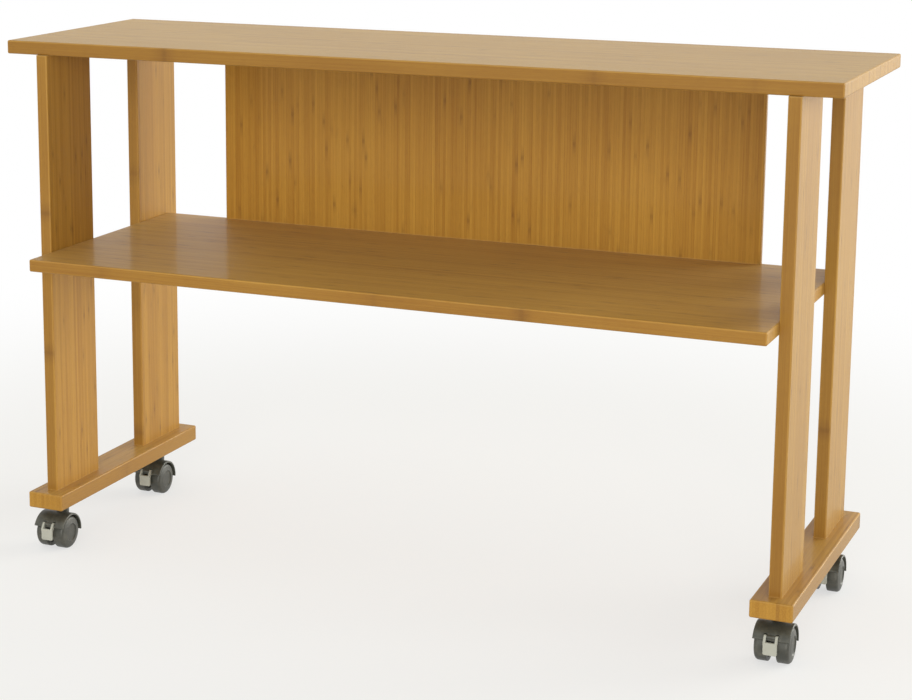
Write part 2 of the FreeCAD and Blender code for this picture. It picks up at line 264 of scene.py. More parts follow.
shifted = calc(bamboo, "ADD", along, calc(bamboo, "MULTIPLY", offset, LONGEST_OFFSET))
in_strip = (shifted, across, deep)
fibres = noise(bamboo, stretch(bamboo, in_strip, *FIBRE_RATES), roughness=0.6)
streaks = noise(bamboo, stretch(bamboo, in_strip, *STREAK_RATES), detail=1.0)
pores = noise(bamboo, stretch(bamboo, in_strip, *PORE_RATES), detail=1.0)
pores = ramp(bamboo, pores, 0.56, 0.70)
drift_place = join_axes(bamboo, calc(bamboo, "MULTIPLY", shifted, DRIFT_RATE), column, layer)
drift = noise(bamboo, drift_place, detail=1.0)
patch = noise(bamboo, given["Vector"], scale=PATCH_RATE, detail=1.0)
print("fibres change about", FIBRE_RATES[1], "times in a metre across a strip")

# %% [markdown]
# A knuckle crosses its strip as a soft dark mark that ends within seven millimetres, in a
# fainter halo that ends within three centimetres. The culms were not lined up when the board
# was pressed, so each strip has its knuckles somewhere else, and some are planed nearly clean.

# %% Bamboo group: knuckles and glue lines
KNUCKLE_WANDER = 0.006
MARK_ENDS, HALO_ENDS = (0.001, 0.007), (0.002, 0.028)
GLUE_WIDTH = 0.00025

joints = calc(bamboo, "ADD", calc(bamboo, "DIVIDE", along, given["Knuckle Spacing"]), offset)
joints = calc(bamboo, "ADD", joints, calc(bamboo, "MULTIPLY", spread, 5.0))
wander = calc(bamboo, "MULTIPLY", calc(bamboo, "SUBTRACT", fibres, 0.5), KNUCKLE_WANDER)
turn = calc(bamboo, "SUBTRACT", calc(bamboo, "FRACT", joints), 0.5)
reach = calc(bamboo, "MULTIPLY", turn, given["Knuckle Spacing"])
reach = calc(bamboo, "ABSOLUTE", calc(bamboo, "ADD", reach, wander))
joint = join_axes(bamboo, column, calc(bamboo, "FLOOR", joints), given["Seed"])
joint_draw = add(bamboo, "ShaderNodeTexWhiteNoise", {"Vector": joint}, noise_dimensions="3D")
strength = ramp(bamboo, joint_draw.outputs["Value"], 0.35, 1.0)
mark = calc(bamboo, "MULTIPLY", ramp(bamboo, reach, *MARK_ENDS, 1.0, 0.0), strength)
halo = calc(bamboo, "MULTIPLY", ramp(bamboo, reach, *HALO_ENDS, 1.0, 0.0), strength)
side = calc(bamboo, "ABSOLUTE", calc(bamboo, "SUBTRACT", calc(bamboo, "FRACT", columns), 0.5))
to_glue = calc(bamboo, "MULTIPLY", calc(bamboo, "SUBTRACT", 0.5, side), given["Strip Width"])
glue_line = ramp(bamboo, to_glue, 0.0, GLUE_WIDTH, 1.0, 0.0)
print("a knuckle's halo ends within", HALO_ENDS[1], "metres")


# %% Bamboo group: colour, roughness and height
def centred(value, weight):
    """Return (value - 1/2) * weight inside the bamboo group."""
    return calc(bamboo, "MULTIPLY", calc(bamboo, "SUBTRACT", value, 0.5), weight)


tone = calc(bamboo, "ADD", 0.5, centred(strip_tone, 0.36))
for part, weight in ((drift, 0.55), (streaks, 0.65), (fibres, 0.55), (patch, 0.6)):
    tone = calc(bamboo, "ADD", tone, centred(part, weight))
colour = blend(bamboo, tone, given["Dark"], given["Pale"])
knuckle_mask = calc(bamboo, "MULTIPLY", mark, 0.16)
knuckle_mask = calc(bamboo, "ADD", knuckle_mask, calc(bamboo, "MULTIPLY", halo, 0.26))
colour = blend(bamboo, knuckle_mask, colour, given["Knuckle"])
for part, weight in ((glue_line, 0.3), (pores, 0.22)):
    colour = blend(bamboo, calc(bamboo, "MULTIPLY", part, weight), colour, given["Knuckle"])
height = calc(bamboo, "MULTIPLY", fibres, 0.5)
for part, weight in ((glue_line, 0.6), (mark, 0.4), (pores, 0.3)):
    height = calc(bamboo, "SUBTRACT", height, calc(bamboo, "MULTIPLY", part, weight))
roughness = calc(bamboo, "ADD", 0.52, centred(fibres, 0.25))
finish_group(bamboo, result, Color=colour, Roughness=roughness, Height=height)
print("the bamboo group has", len(bamboo.nodes), "nodes")

# %% [markdown]
# ## Edges: wear, painted highlight and painted shade
# Hands and cloths rub a table's eased edges first, so the varnish there is thinner. Edges that
# face up are painted a little paler, partly as that wear and partly as a painted highlight;
# edges that face down are painted darker, as painted shade. So the way a face points decides
# which of the two it gets. A board is a box, so how near a point is to an edge follows from
# how far it is from each pair of faces: on a face one of the three distances is zero, and the
# second smallest is that to the nearest edge.

# %% Edge group
edges, given, result = new_group(
    "nearness to edges",
    {
        "Vector": ("vector", None),
        "Centre": ("vector", None),
        "Half Size": ("vector", None),
        "Width": ("value", 0.003),
    },
    {"Mask": "value"},
)
from_centre = vector_calc(edges, "SUBTRACT", given["Vector"], given["Centre"])
from_centre = vector_calc(edges, "ABSOLUTE", from_centre)
to_faces = vector_calc(edges, "SUBTRACT", given["Half Size"], from_centre)
to_x, to_y, to_z = split_axes(edges, to_faces)
nearer = calc(edges, "MINIMUM", to_x, to_y)
farther = calc(edges, "MAXIMUM", to_x, to_y)
second = calc(edges, "MAXIMUM", nearer, calc(edges, "MINIMUM", farther, to_z))
ragged_width = noise(edges, given["Vector"], scale=45.0, detail=3.0)
reach = calc(edges, "MULTIPLY", given["Width"], calc(edges, "ADD", 0.4, ragged_width))
closeness = calc(edges, "SUBTRACT", 1.0, calc(edges, "DIVIDE", second, reach))
mask = add(edges, "ShaderNodeClamp", {"Value": closeness}).outputs[0]
finish_group(edges, result, Mask=mask)
print("the edge group has", len(edges.nodes), "nodes")

# %% [markdown]
# ## A finish for each board
# All boards share the two groups, but each has its own seed, so that no two boards show the
# same strips. Six of the boards are also made paler by a factor of their own: this is painted
# light, which brightens the shelf and the back panel in the top's shade, and the feet and the
# left posts, which the lamps reach less. A board's front edge is the side of its first strip,
# and the seeds of the shelf and the front right post are picked so that this strip is a dark
# one. The board's box in the frame says where its first strip begins and how many strips fit
# across it, so that no half strip is left at an edge.

# %% Board finish
PALE_BAMBOO = (0.50, 0.273, 0.043, 1)
DARK_BAMBOO = (0.312, 0.141, 0.0165, 1)
# The knuckle brown also colours the painted shade on edges that face down.
KNUCKLE_AND_SHADE_BROWN = (0.115, 0.042, 0.012, 1)
# The pale edge colour is partly rubbed wear and partly a painted highlight.
RUBBED_AND_LIT_BAMBOO = (0.56, 0.34, 0.11, 1)
STRIP_WIDTH = 0.0055
GRAIN_DEPTH = 0.00012
WEAR_AND_HIGHLIGHT_SHARE, EDGE_SHADE_SHARE = 0.5, 0.6
VARNISH, VARNISH_RUBBED_OFF = 0.17, 0.05
AXIS_NUMBER = {"x": 0, "y": 1, "z": 2}


# Painted light: a board's colours are scaled up where the top's shade or weak lamp light leaves it
# darker.
def with_painted_light(colour, painted_light):
    """Return a colour made lighter or darker. Its alpha stays."""
    return (*[value * painted_light for value in colour[:3]], colour[3])


def bamboo_finish(node, order, painted_light, seed):
    """Finish one board. Order names its axes: along the grain, across the strips, deep."""
    low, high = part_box(node)
    size = high - low
    width = size[AXIS_NUMBER[order[1]]]
    strips = round(width / STRIP_WIDTH)
    material, tree, shader, place = new_material(node + "_bamboo")
    from_corner = add(tree, "ShaderNodeMapping", {"Vector": place, "Location": -low}).outputs[0]
    axes = split_axes(tree, from_corner)
    turned = join_axes(tree, *[axes[AXIS_NUMBER[letter]] for letter in order])
    grain = use_group(
        tree, bamboo, Vector=turned, Strip_Width=width / strips,
        Strip_Depth=size[AXIS_NUMBER[order[2]]], Seed=seed,
        Pale=with_painted_light(PALE_BAMBOO, painted_light), Dark=with_painted_light(DARK_BAMBOO, painted_light), Knuckle=KNUCKLE_AND_SHADE_BROWN,
    )
    near_edge = use_group(tree, edges, Vector=place, Centre=(low + high) / 2, Half_Size=size / 2)
    normal = tree.nodes.new("ShaderNodeNewGeometry").outputs["Normal"]
    # Edges that face up are painted paler: partly rubbed wear, partly a painted highlight.
    upward = ramp(tree, split_axes(tree, normal)[2], -0.4, 0.1)
    upward_edge = calc(tree, "MULTIPLY", near_edge["Mask"], upward)
    paler_wear_and_highlight = calc(tree, "MULTIPLY", upward_edge, WEAR_AND_HIGHLIGHT_SHARE)
    base = blend(tree, paler_wear_and_highlight, grain["Color"], RUBBED_AND_LIT_BAMBOO)
    # Painted shade: edges that face down are blended towards the knuckle brown, as if in shadow.
    downward_edge = calc(tree, "SUBTRACT", near_edge["Mask"], upward_edge)
    painted_edge_shade = calc(tree, "MULTIPLY", downward_edge, EDGE_SHADE_SHARE)
    base = blend(tree, painted_edge_shade, base, KNUCKLE_AND_SHADE_BROWN)
    tree.links.new(base, shader.inputs["Base Color"])
    tree.links.new(grain["Roughness"], shader.inputs["Roughness"])
    rubbed_off = calc(tree, "MULTIPLY", near_edge["Mask"], VARNISH_RUBBED_OFF)
    varnish = calc(tree, "SUBTRACT", VARNISH, rubbed_off)
    tree.links.new(varnish, shader.inputs["Coat Weight"])
    shader.inputs["Coat Roughness"].default_value = 0.13
    shader.inputs["Specular IOR Level"].default_value = 0.2
    shader.inputs["Sheen Weight"].default_value = 0.14
    shader.inputs["Sheen Roughness"].default_value = 0.4
    shader.inputs["Sheen Tint"].default_value = (1.0, 0.88, 0.5, 1)
    bump(tree, shader, grain["Height"], GRAIN_DEPTH)
    dress(node, material)
    return strips


# The middle number of each board scales its colours: painted light for boards the top shades or
# the lamps reach less.
BOARDS = {
    "top_slab": ("xyz", 1.0, 1),
    "shelf": ("xyz", 1.12, 16),
    "back_panel": ("zxy", 1.14, 3),
    "left_foot": ("yxz", 1.06, 4),
    "front_left_post": ("zyx", 1.08, 5),
    "back_left_post": ("zyx", 1.08, 6),
    "right_foot": ("yxz", 1.06, 7),
    "front_right_post": ("zyx", 1.0, 23),
    "back_right_post": ("zyx", 1.0, 9),
}
for board, (order, painted_light, seed) in BOARDS.items():
    print(board, "is pressed from", bamboo_finish(board, order, painted_light, seed), "strips")

# %% [markdown]
# ## Moulded plastic
# The casters are injection moulded. The mould's walls are etched with a fine grain, which
# turns a gloss into a soft sheen, and use adds scuffs and dust. An image would have to be
# wrapped around each curved part. Noise that is worked out in space needs no wrapping, so one
# group makes all three, and the covers, wheels and lock levers place it with their colours.

# %% Plastic group
ETCHING_DEPTH = 0.00003

moulded, given, result = new_group(
    "moulded plastic",
    {
        "Vector": ("vector", None),
        "Plastic": ("colour", (0.1, 0.1, 0.1, 1)),
        "Dust": ("colour", (0.3, 0.3, 0.27, 1)),
        "Dustiness": ("value", 0.3),
        "Sheen": ("value", 0.45),
    },
    {"Color": "colour", "Roughness": "value", "Height": "value"},
)
etched = noise(moulded, given["Vector"], scale=2600.0, detail=1.0)
cloud = noise(moulded, given["Vector"], scale=60.0, detail=4.0, roughness=0.65)
scratch_place = vector_calc(moulded, "MULTIPLY", given["Vector"], (90.0, 900.0, 420.0))
scratches = ramp(moulded, noise(moulded, scratch_place, detail=2.0), 0.60, 0.74)
dust = calc(moulded, "MULTIPLY", ramp(moulded, cloud, 0.42, 0.75), given["Dustiness"])
dust = calc(moulded, "ADD", dust, calc(moulded, "MULTIPLY", scratches, 0.12))
colour = blend(moulded, dust, given["Plastic"], given["Dust"])
roughness = calc(moulded, "ADD", given["Sheen"], calc(moulded, "MULTIPLY", dust, 0.35))
height = calc(moulded, "SUBTRACT", etched, calc(moulded, "MULTIPLY", scratches, 0.6))
finish_group(moulded, result, Color=colour, Roughness=roughness, Height=height)


def plastic_finish(name, colour, dust, dustiness, sheen):
    """Return a material for a moulded part."""
    material, tree, shader, place = new_material(name)
    skin = use_group(
        tree, moulded, Vector=place, Plastic=colour, Dust=dust, Dustiness=dustiness, Sheen=sheen
    )
    tree.links.new(skin["Color"], shader.inputs["Base Color"])
    tree.links.new(skin["Roughness"], shader.inputs["Roughness"])
    bump(tree, shader, skin["Height"], ETCHING_DEPTH)
    return material


cover_plastic = plastic_finish(
    "cover_plastic", colour=(0.056, 0.057, 0.047, 1), dust=(0.22, 0.215, 0.18, 1),
    dustiness=0.28, sheen=0.36,
)
wheel_plastic = plastic_finish(
    "wheel_plastic", colour=(0.044, 0.045, 0.037, 1), dust=(0.20, 0.19, 0.16, 1),
    dustiness=0.30, sheen=0.40,
)
lever_plastic = plastic_finish(
    "lever_plastic", colour=(0.43, 0.435, 0.39, 1), dust=(0.28, 0.26, 0.22, 1),
    dustiness=0.25, sheen=0.35,
)
print("three moulded plastics are ready")

# %% [markdown]
# ## Plated steel
# The mounting plates are pressed from sheet and zinc plated, which leaves a pattern of faint
# crystals. Pins, clips and screws are plain steel with turning marks. A single grey would do
# from afar, but it is the crystals and marks that tell a plate from a pin. So one group makes
# both, with a cell pattern for the crystals and a fine noise for the marks.

# %% Metal group
TURNING_DEPTH = 0.00001

plated, given, result = new_group(
    "plated steel",
    {
        "Vector": ("vector", None),
        "Metal": ("colour", (0.6, 0.6, 0.6, 1)),
        "Tarnish": ("colour", (0.35, 0.33, 0.3, 1)),
        "Crystal Size": ("value", 0.002),
        "Polish": ("value", 0.3),
    },
    {"Color": "colour", "Roughness": "value", "Height": "value"},
)
cell_scale = calc(plated, "DIVIDE", 1.0, given["Crystal Size"])
cells = add(plated, "ShaderNodeTexVoronoi", {"Vector": given["Vector"], "Scale": cell_scale})
crystal = split_axes(plated, cells.outputs["Color"])[0]
marks = noise(plated, given["Vector"], scale=1800.0, detail=2.0)
stain = ramp(plated, noise(plated, given["Vector"], scale=110.0, detail=3.0), 0.45, 0.8)
stain = calc(plated, "ADD", stain, calc(plated, "MULTIPLY", crystal, 0.25))
colour = blend(plated, calc(plated, "MULTIPLY", stain, 0.6), given["Metal"], given["Tarnish"])
roughness = calc(plated, "ADD", given["Polish"], calc(plated, "MULTIPLY", crystal, 0.14))
roughness = calc(plated, "ADD", roughness, calc(plated, "MULTIPLY", marks, 0.1))
finish_group(plated, result, Color=colour, Roughness=roughness, Height=marks)


def metal_finish(name, colour, tarnish, crystal_size, polish):
    """Return a material for a steel part."""
    material, tree, shader, place = new_material(name)
    skin = use_group(
        tree, plated, Vector=place, Metal=colour, Tarnish=tarnish,
        Crystal_Size=crystal_size, Polish=polish,
    )
    tree.links.new(skin["Color"], shader.inputs["Base Color"])
    tree.links.new(skin["Roughness"], shader.inputs["Roughness"])
    shader.inputs["Metallic"].default_value = 1.0
    bump(tree, shader, skin["Height"], TURNING_DEPTH)
    return material


zinc = metal_finish(
    "zinc_plate", colour=(0.70, 0.69, 0.66, 1), tarnish=(0.50, 0.49, 0.45, 1),
    crystal_size=0.0022, polish=0.30,
)
pin_steel = metal_finish(
    "pin_steel", colour=(0.56, 0.56, 0.55, 1), tarnish=(0.33, 0.31, 0.28, 1),
    crystal_size=0.0006, polish=0.22,
)
screw_steel = metal_finish(
    "screw_steel", colour=(0.66, 0.62, 0.50, 1), tarnish=(0.45, 0.38, 0.25, 1),
    crystal_size=0.0008, polish=0.26,
)
print("three metals are ready")

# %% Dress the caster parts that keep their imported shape
CASTERS = [row + "_" + end for row in ("front", "back") for end in ("left", "right")]
CASTER_FINISH = {
    "plate": zinc,
    "kingpin": pin_steel,
    "kingpin_clip": pin_steel,
    "axle": pin_steel,
    "lever_pin": pin_steel,
    "hood": cover_plastic,
    "left_wheel": wheel_plastic,
    "right_wheel": wheel_plastic,
    "lock_lever": lever_plastic,
}
for caster in CASTERS:
    for part, material in CASTER_FINISH.items():
        dress(caster + "_caster_" + part, material)
print(len(CASTERS), "casters are dressed")

# %% [markdown]
# ## Parts that repeat
# Screws and dowels come in dozens and are all alike, so one of each is modelled and Geometry
# Nodes sets it in every place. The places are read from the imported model: a node that holds
# a group of screws is a group of loose solids, and each solid has its own box. A set gives
# its members in any order, so the boxes are sorted, and every run sets the parts alike.


# %% Find the loose solids of a node
def solid_boxes(node):
    """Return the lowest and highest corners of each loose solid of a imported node."""
    shape = bmesh.new()
    shape.from_mesh(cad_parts[node].data)
    bmesh.ops.remove_doubles(shape, verts=shape.verts, dist=1e-6)
    boxes, waiting = [], set(shape.verts)
    while waiting:
        reached, edge = set(), [waiting.pop()]
        while edge:
            corner = edge.pop()
            reached.add(corner)
            for link in corner.link_edges:
                other = link.other_vert(corner)
                if other in waiting:
                    waiting.remove(other)
                    edge.append(other)
        low = Vector([min(v.co[i] for v in reached) for i in range(3)])
        high = Vector([max(v.co[i] for v in reached) for i in range(3)])
        boxes.append((low, high))
    shape.free()
    return sorted(boxes, key=lambda box: box[0][:])


for node in ("plate_screws", "foot_screws", "top_dowels", "shelf_dowels", "panel_dowels"):
    print(node, "holds", len(solid_boxes(node)), "solids")

# %% [markdown]
# The tree takes a mesh whose corners are the places, and turns each copy about its own axis
# by a random angle from a fixed seed, because nobody lines up the slots of screws. It ends in
# Realize Instances and Set Material, so that what comes out is one plain mesh.

# %% Geometry Nodes: a part in every place
placing = bpy.data.node_groups.new("part in every place", "GeometryNodeTree")
PLACING_INPUTS = {
    "Places": "NodeSocketGeometry",
    "Part": "NodeSocketObject",
    "Axis": "NodeSocketVector",
    "Seed": "NodeSocketInt",
    "Finish": "NodeSocketMaterial",
}
placing_ids = {
    label: placing.interface.new_socket(label, in_out="INPUT", socket_type=kind).identifier
    for label, kind in PLACING_INPUTS.items()
}
placing.interface.new_socket("Geometry", in_out="OUTPUT", socket_type="NodeSocketGeometry")
given = placing.nodes.new("NodeGroupInput").outputs
part = add(placing, "GeometryNodeObjectInfo", {"Object": given["Part"]}).outputs["Geometry"]
angle = add(placing, "FunctionNodeRandomValue", {"Seed": given["Seed"]}, data_type="FLOAT")
angle.inputs[3].default_value = math.tau
turned = add(
    placing, "FunctionNodeAxisAngleToRotation", {"Axis": given["Axis"], "Angle": angle.outputs[1]}
).outputs[0]
copies = add(
    placing, "GeometryNodeInstanceOnPoints",
    {"Points": given["Places"], "Instance": part, "Rotation": turned},
).outputs[0]
solid = add(placing, "GeometryNodeRealizeInstances", {"Geometry": copies}).outputs[0]
finished = add(
    placing, "GeometryNodeSetMaterial", {"Geometry": solid, "Material": given["Finish"]}
)
result = placing.nodes.new("NodeGroupOutput")
placing.links.new(finished.outputs[0], result.inputs[0])


def grow(name, start_mesh, tree, ids, values):
    """Run a Geometry Nodes tree on a mesh and return its result as a plain object."""
    holder = bpy.data.objects.new(name, start_mesh)
    bpy.context.scene.collection.objects.link(holder)
    modifier = holder.modifiers.new("grow", "NODES")
    modifier.node_group = tree
    for label, value in values.items():
        modifier[ids[label]] = value
    evaluated = holder.evaluated_get(bpy.context.evaluated_depsgraph_get())
    grown = bpy.data.meshes.new_from_object(evaluated)
    holder.modifiers.clear()
    holder.data = grown
    holder.data.name = name
    return holder


def from_shape(name, shape, sharp_angle=35):
    """Turn a bmesh into a linked object with smooth faces and sharp corners."""
    bmesh.ops.recalc_face_normals(shape, faces=shape.faces)
    mesh = bpy.data.meshes.new(name)
    shape.to_mesh(mesh)
    shape.free()
    mesh.shade_smooth()
    mesh.set_sharp_from_angle(angle=math.radians(sharp_angle))
    piece = bpy.data.objects.new(name, mesh)
    bpy.context.scene.collection.objects.link(piece)
    return piece


print("the placing tree has", len(placing.nodes), "nodes")

# %% [markdown]
# ## Wood screws
# A countersunk screw is a cone under a flat head, a plain neck and a thread. The head is a
# disc with a cross cut out of it, and the cross narrows as it goes down, as the driver's bit
# does. The thread is a three-sided ridge that climbs the core in a helix.
#
# A boolean could cut the cross, but filling between two outlines gives clean faces.


# %% Model one screw
def ring_of(shape, radius, height, count):
    """Add a ring of corners about the Z axis."""
    angles = [math.tau * i / count for i in range(count)]
    return [
        shape.verts.new((radius * math.cos(angle), radius * math.sin(angle), height))
        for angle in angles
    ]


def skin(shape, first, second):
    """Join two rings of equal count with faces."""
    count = len(first)
    for i in range(count):
        j = (i + 1) % count
        shape.faces.new((first[i], first[j], second[j], second[i]))


def lathe(shape, profile, count):
    """Join rings of (radius, height) points, and return the rings."""
    rings = [ring_of(shape, radius, height, count) for radius, height in profile]
    for first, second in zip(rings, rings[1:]):
        skin(shape, first, second)
    return rings


def cross_outline(arm, half):
    """Return the twelve corners of a cross with arms of one length and half width."""
    quarter = [(arm, -half), (arm, half), (half, half)]
    turns = [Matrix.Rotation(math.tau * i / 4, 2) for i in range(4)]
    return [turn @ Vector(corner) for turn in turns for corner in quarter]


SCREW_SIDES, THREAD_STEPS = 24, 12
CORE_SHARE, PITCH_SHARE = 0.34, 0.42
THREAD_STARTS = 0.34
CROSS_ARM, CROSS_HALF_WIDTH = 0.27, 0.075
BIT_TAPER, BIT_DEPTH = 0.45, 1.1
ROOT_IN_CORE, RIDGE_HALF_WIDTH = 0.8, 0.3


def wood_screw(name, length, head, diameter):
    """Model a screw from its head at the origin to its tip at +Z."""
    shape = bmesh.new()
    neck, core = diameter / 2, diameter * CORE_SHARE
    sink = (head - diameter) / 2
    thread_start, taper = length * THREAD_STARTS, diameter
    profile = [(head / 2, 0), (neck, sink), (neck * 0.96, thread_start)]
    profile += [(core, thread_start + core / 2), (core, length - taper), (core * 0.15, length)]
    rings = lathe(shape, profile, SCREW_SIDES)
    shape.faces.new(rings[-1])

    rim = [shape.edges.get((rings[0][i], rings[0][i - 1])) for i in range(SCREW_SIDES)]
    cross = cross_outline(head * CROSS_ARM, head * CROSS_HALF_WIDTH)
    outline = [shape.verts.new((*corner, 0)) for corner in cross]
    slot = [shape.edges.new((outline[i], outline[i - 1])) for i in range(len(outline))]
    bmesh.ops.triangle_fill(shape, edges=rim + slot, use_beauty=True)
    bottom = [
        shape.verts.new((v.co.x * BIT_TAPER, v.co.y * BIT_TAPER, sink * BIT_DEPTH))
        for v in outline
    ]
    skin(shape, outline, bottom)
    shape.faces.new(bottom)

    pitch, root = diameter * PITCH_SHARE, core * ROOT_IN_CORE
    turns = (length - taper / 2 - thread_start) / pitch
    ridge = []
    for i in range(int(turns * THREAD_STEPS) + 1):
        angle = math.tau * i / THREAD_STEPS
        height = thread_start + pitch * i / THREAD_STEPS
        fade = min(1, i / THREAD_STEPS, (length - height) / taper)
        crest = root + (neck - root) * fade
        points = ((root * fade, -RIDGE_HALF_WIDTH), (crest, 0), (root * fade, RIDGE_HALF_WIDTH))
        ridge.append([
            shape.verts.new((r * math.cos(angle), r * math.sin(angle), height + pitch * up))
            for r, up in points
        ])
    for first, second in zip(ridge, ridge[1:]):
        skin(shape, first, second)
    shape.faces.new(ridge[0])
    shape.faces.new(ridge[-1])
    return from_shape(name, shape)


print("a screw's head has", SCREW_SIDES, "sides, its thread", THREAD_STEPS, "steps in a turn")


# %% Set the screws
def set_parts(node, part, axis, finish, seed):
    """Put a copy of part at the low end of each solid of a node, and let them replace it."""
    places = bpy.data.meshes.new(node + "_places")
    spots = []
    for low, high in solid_boxes(node):
        middle = (low + high) / 2
        spots.append([low[i] if axis[i] else middle[i] for i in range(3)])
    places.from_pydata(spots, [], [])
    values = {"Part": part, "Axis": axis, "Seed": seed, "Finish": finish}
    piece = grow(node + "_made", places, placing, placing_ids, values)
    bpy.data.objects.remove(part)
    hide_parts(node)
    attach(piece, "table")
    print(node, "is", len(spots), "copies,", len(piece.data.polygons), "faces")


SHANKS = {"plate_screws": 0.004, "foot_screws": 0.006}
FIRST_SCREW_SEED = 5
for seed, (node, shank) in enumerate(SHANKS.items(), start=FIRST_SCREW_SEED):
    low, high = solid_boxes(node)[0]
    screw = wood_screw("one_of_" + node, high.z - low.z, high.x - low.x, shank)
    set_parts(node, screw, (0, 0, 1), screw_steel, seed)

# %% [markdown]
# ## Dowels
# A joinery dowel is beech, with flutes along it that let glue and air out as it goes in, and
# its ends are bevelled so that it finds its hole. The flutes could be cut one by one. Here
# they need no cutting: they are a ring whose corners are in turn far from and near to the
# middle.


# %% Beech finish
BEECH_RATES = (40.0, 900.0)
BEECH_DEPTH = 0.00005


def beech_finish(name, order):
    """Return a material for dowels whose grain runs along the first axis of order."""
    material, tree, shader, place = new_material(name)
    axes = split_axes(tree, place)
    grain_axes = [axes[AXIS_NUMBER[letter]] for letter in order]
    rays_of_beech = noise(tree, stretch(tree, grain_axes, *BEECH_RATES))
    flecks = ramp(tree, rays_of_beech, 0.58, 0.7)
    tone = blend(tree, rays_of_beech, (0.50, 0.31, 0.16, 1), (0.66, 0.46, 0.28, 1))
    tone = blend(tree, calc(tree, "MULTIPLY", flecks, 0.4), tone, (0.33, 0.18, 0.08, 1))
    tree.links.new(tone, shader.inputs["Base Color"])
    shader.inputs["Roughness"].default_value = 0.6
    bump(tree, shader, rays_of_beech, BEECH_DEPTH)
    return material


print("beech changes about", BEECH_RATES[1], "times in a metre across its grain")


# %% Model and set the dowels
FLUTES, FLUTE_FLOOR = 16, 0.93


def fluted_dowel(name, length, diameter, axis):
    """Model a dowel from the origin along an axis."""
    shape = bmesh.new()
    radius, bevel = diameter / 2, diameter / 8
    profile = [(radius - bevel, 0), (radius, bevel), (radius, length - bevel)]
    profile += [(radius - bevel, length)]
    rings = lathe(shape, profile, 2 * FLUTES)
    for ring in rings[1:3]:
        for corner in ring[::2]:
            corner.co.x *= FLUTE_FLOOR
            corner.co.y *= FLUTE_FLOOR
    shape.faces.new(rings[0])
    shape.faces.new(rings[-1])
    turn = Vector((0, 0, 1)).rotation_difference(Vector(axis)).to_matrix()
    bmesh.ops.rotate(shape, matrix=turn, verts=shape.verts)
    return from_shape(name, shape, sharp_angle=20)


DOWELS = {"top_dowels": "zxy", "shelf_dowels": "xyz", "panel_dowels": "zxy"}
FIRST_DOWEL_SEED = 11
for seed, (node, order) in enumerate(DOWELS.items(), start=FIRST_DOWEL_SEED):
    low, high = solid_boxes(node)[0]
    size = high - low
    axis = [0, 0, 0]
    axis[AXIS_NUMBER[order[0]]] = 1
    length, diameter = size[AXIS_NUMBER[order[0]]], size[AXIS_NUMBER[order[1]]]
    peg = fluted_dowel("one_of_" + node, length, diameter, axis)
    finish = beech_finish(node + "_beech", order)
    set_parts(node, peg, tuple(axis), finish, seed)

# %% [markdown]
# ## Ribs inside the wheels
# A moulded wheel is hollow, so that its walls cool evenly, and ribs run from the hub to the
# rim to carry the load. Here the rule of the shape is a ring: Geometry Nodes puts every rib
# at the middle of the axle, and turns each about it by its share of a full turn.

# %% Geometry Nodes: a ring of ribs
ribbing = bpy.data.node_groups.new("ring of ribs", "GeometryNodeTree")
RIB_INPUTS = {
    "Rib": "NodeSocketObject",
    "Count": "NodeSocketInt",
    "Finish": "NodeSocketMaterial",
}
ribbing_ids = {
    label: ribbing.interface.new_socket(label, in_out="INPUT", socket_type=kind).identifier
    for label, kind in RIB_INPUTS.items()
}
ribbing.interface.new_socket("Geometry", in_out="OUTPUT", socket_type="NodeSocketGeometry")
given = ribbing.nodes.new("NodeGroupInput").outputs
rib = add(ribbing, "GeometryNodeObjectInfo", {"Object": given["Rib"]}).outputs["Geometry"]
spots = add(ribbing, "GeometryNodePoints", {"Count": given["Count"]}).outputs[0]
number = ribbing.nodes.new("GeometryNodeInputIndex").outputs[0]
share = calc(ribbing, "DIVIDE", number, given["Count"])
turn = calc(ribbing, "MULTIPLY", share, math.tau)
turn = join_axes(ribbing, turn, 0.0, 0.0)
copies = add(
    ribbing, "GeometryNodeInstanceOnPoints", {"Points": spots, "Instance": rib, "Rotation": turn}
).outputs[0]
solid = add(ribbing, "GeometryNodeRealizeInstances", {"Geometry": copies}).outputs[0]
finished = add(
    ribbing, "GeometryNodeSetMaterial", {"Geometry": solid, "Material": given["Finish"]}
)
result = ribbing.nodes.new("NodeGroupOutput")
ribbing.links.new(finished.outputs[0], result.inputs[0])
print("the rib tree has", len(ribbing.nodes), "nodes")

# %% Model one rib and set a ring in each wheel
HUB_RADIUS, WELL_RADIUS, WELL_DEPTH = 0.008, 0.023, 0.009
RIB_COUNT, RIB_THICKNESS, RIB_SINK = 8, 0.0018, 0.0004
RIB_RECESS, RIB_ROUND = 0.0015, 0.0003
THICKER_AT_HUB, THINNER_AT_RIM = 1.25, 0.9


def wheel_rib(inward, outward):
    """Model a tapered rib that stands along Z, from one X to another."""
    shape = bmesh.new()
    low, high = sorted((inward, outward))
    bmesh.ops.create_cube(shape, size=1.0)
    for corner in shape.verts:
        near_hub = corner.co.z < 0
        corner.co.z = HUB_RADIUS - RIB_SINK if near_hub else WELL_RADIUS + RIB_SINK
        corner.co.y *= RIB_THICKNESS * (THICKER_AT_HUB if near_hub else THINNER_AT_RIM)
        corner.co.x = low if corner.co.x < 0 else high
    bmesh.ops.bevel(
        shape, geom=shape.edges[:], offset=RIB_ROUND, segments=2, affect="EDGES", profile=0.5
    )
    return from_shape("one_rib", shape)


